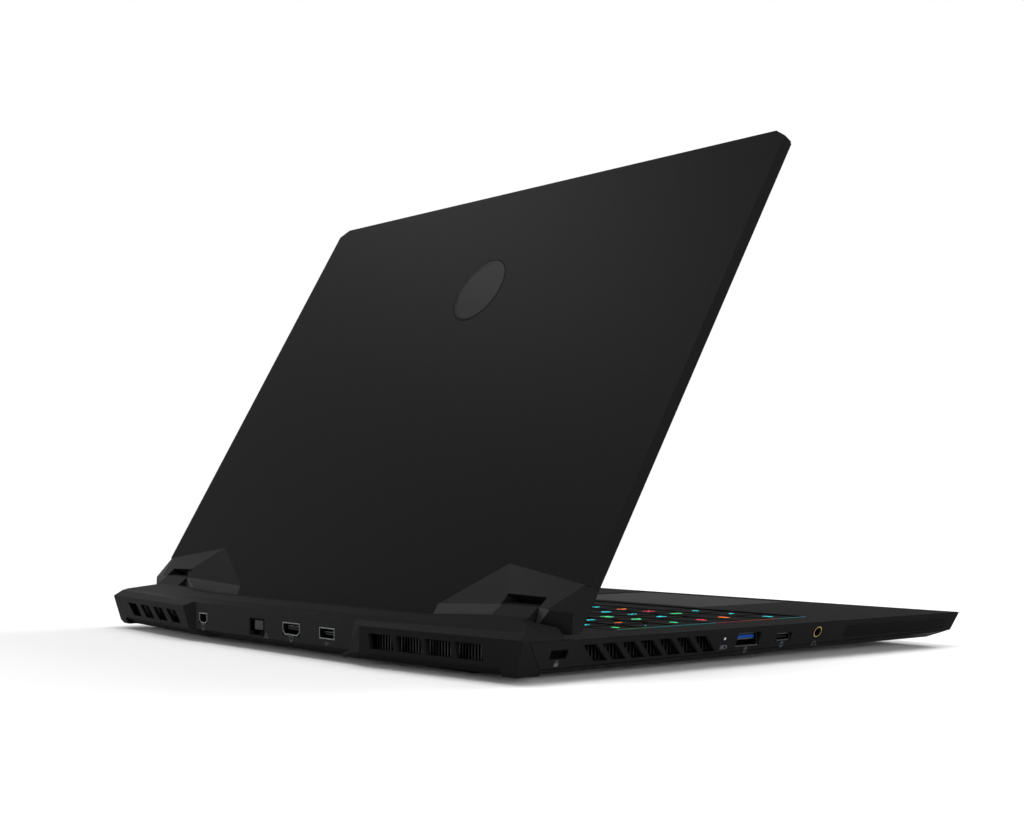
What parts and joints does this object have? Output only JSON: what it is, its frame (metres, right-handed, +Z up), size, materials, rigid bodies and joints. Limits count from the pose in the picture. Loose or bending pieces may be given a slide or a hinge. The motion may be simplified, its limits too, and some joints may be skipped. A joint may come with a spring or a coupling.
{
  "type": "laptop computer",
  "caption": "Black laptop computer standing open, with a hinged lid, keyboard, touchpad, side and rear sockets, faceted hinge covers and vented rear housing.",
  "frame": {"origin": "on the table under the middle of the base's outline", "axes": "+X to the user's right, +Y to the rear where the ports are, +Z up"},
  "size_m": [0.358, 0.268, 0.227],
  "materials": {
    "black_plastic": "fine matt texture",
    "lid_metal": "satin black coating",
    "emblem": "smooth, bare",
    "key_plastic": "matt",
    "touchpad_surface": "smooth matt",
    "rubber": "matt",
    "steel": "satin",
    "socket_metal": "satin",
    "gilt": "polished",
    "light_lens": "clear white",
    "grille_metal": "matt black, perforated",
    "dark_plastic": "plain",
    "circuit_board": "solder mask",
    "chip": "smooth",
    "copper": "satin copper",
    "fin_metal": "plain",
    "screen": "smooth dark, switched off"
  },
  "bodies": {
    "base": {"bottom_cover": "black_plastic", "top_case": "black_plastic", "rear_housing": "black_plastic", "rubber_feet": "rubber", "bottom_screws": "steel", "keyboard_plate": "black_plastic", "touchpad_bracket": "steel", "usb_a_left": "socket_metal", "usb_c_left": "socket_metal", "audio_jack": "gilt", "usb_a_right": "socket_metal", "lock_slot": "steel", "indicator_light": "light_lens", "mini_display_port": "socket_metal", "network_port": "socket_metal", "hdmi_port": "socket_metal", "power_inlet": "socket_metal", "speaker_grilles": "grille_metal", "speakers": "dark_plastic", "main_board": "circuit_board", "processor_chips": "chip", "heat_spreader": "copper", "heat_pipes": "copper", "rear_fins_left": "fin_metal", "rear_fins_right": "fin_metal", "side_fins": "fin_metal", "fan_housings": "black_plastic", "battery": "dark_plastic", "memory_modules": "circuit_board", "storage_module": "circuit_board", "wireless_card": "circuit_board", "hinge_brackets": "steel", "hinge_cap_left": "black_plastic", "hinge_cap_right": "black_plastic"},
    "lid": {"hinge_pins": "steel", "hinge_leaves": "steel", "hinge_cover_left": "black_plastic", "hinge_cover_right": "black_plastic", "lid_back_cover": "lid_metal", "emblem_disc": "emblem", "display_bezel": "black_plastic", "display_panel": "screen", "camera_module": "circuit_board", "lid_bumpers": "rubber", "display_cable": "dark_plastic"},
    "keys_front_row": {"keys_front_row": "key_plastic"},
    "keys_lower_row": {"keys_lower_row": "key_plastic"},
    "keys_home_row": {"keys_home_row": "key_plastic"},
    "keys_upper_row": {"keys_upper_row": "key_plastic"},
    "keys_number_row": {"keys_number_row": "key_plastic"},
    "keys_function_row": {"keys_function_row": "key_plastic"},
    "space_bar": {"space_bar": "key_plastic"},
    "enter_key": {"enter_key": "key_plastic"},
    "arrow_keys": {"arrow_keys": "key_plastic"},
    "power_button": {"power_button": "key_plastic"},
    "touchpad": {"touchpad": "touchpad_surface"},
    "fan_rotor_left": {"fan_rotor_left": "dark_plastic"},
    "fan_rotor_right": {"fan_rotor_right": "dark_plastic"}
  },
  "joints": [
    {"name": "lid_hinge", "type": "hinge", "parent": "base", "child": "lid", "pos_m": [0, 0.1002, 0.0208], "axis": [-1, 0, 0], "range_deg": [-60, 65]},
    {"name": "keys_front_row_press", "type": "slide", "parent": "base", "child": "keys_front_row", "axis": [0, 0, -1], "range_m": [0, 0.0015], "stiffness_N_per_m": 400, "springref_m": -0.001},
    {"name": "keys_lower_row_press", "type": "slide", "parent": "base", "child": "keys_lower_row", "axis": [0, 0, -1], "range_m": [0, 0.0015], "stiffness_N_per_m": 400, "springref_m": -0.001},
    {"name": "keys_home_row_press", "type": "slide", "parent": "base", "child": "keys_home_row", "axis": [0, 0, -1], "range_m": [0, 0.0015], "stiffness_N_per_m": 400, "springref_m": -0.001},
    {"name": "keys_upper_row_press", "type": "slide", "parent": "base", "child": "keys_upper_row", "axis": [0, 0, -1], "range_m": [0, 0.0015], "stiffness_N_per_m": 400, "springref_m": -0.001},
    {"name": "keys_number_row_press", "type": "slide", "parent": "base", "child": "keys_number_row", "axis": [0, 0, -1], "range_m": [0, 0.0015], "stiffness_N_per_m": 400, "springref_m": -0.001},
    {"name": "keys_function_row_press", "type": "slide", "parent": "base", "child": "keys_function_row", "axis": [0, 0, -1], "range_m": [0, 0.0015], "stiffness_N_per_m": 400, "springref_m": -0.001},
    {"name": "space_bar_press", "type": "slide", "parent": "base", "child": "space_bar", "axis": [0, 0, -1], "range_m": [0, 0.0015], "stiffness_N_per_m": 120, "springref_m": -0.001},
    {"name": "enter_key_press", "type": "slide", "parent": "base", "child": "enter_key", "axis": [0, 0, -1], "range_m": [0, 0.0015], "stiffness_N_per_m": 100, "springref_m": -0.001},
    {"name": "arrow_keys_press", "type": "slide", "parent": "base", "child": "arrow_keys", "axis": [0, 0, -1], "range_m": [0, 0.0015], "stiffness_N_per_m": 150, "springref_m": -0.001},
    {"name": "power_button_press", "type": "slide", "parent": "base", "child": "power_button", "axis": [0, 0, -1], "range_m": [0, 0.0005], "stiffness_N_per_m": 200, "springref_m": -0.001},
    {"name": "touchpad_click", "type": "hinge", "parent": "base", "child": "touchpad", "pos_m": [-0.021, -0.0635, 0.015], "axis": [1, 0, 0], "range_deg": [0, 0.5], "stiffness_Nm_per_rad": 3, "springref_deg": -2.86},
    {"name": "fan_spin_left", "type": "hinge", "parent": "base", "child": "fan_rotor_left", "pos_m": [-0.124, 0.066, 0.0072], "axis": [0, 0, 1], "continuous": true},
    {"name": "fan_spin_right", "type": "hinge", "parent": "base", "child": "fan_rotor_right", "pos_m": [0.124, 0.066, 0.0072], "axis": [0, 0, 1], "continuous": true}
  ]
}
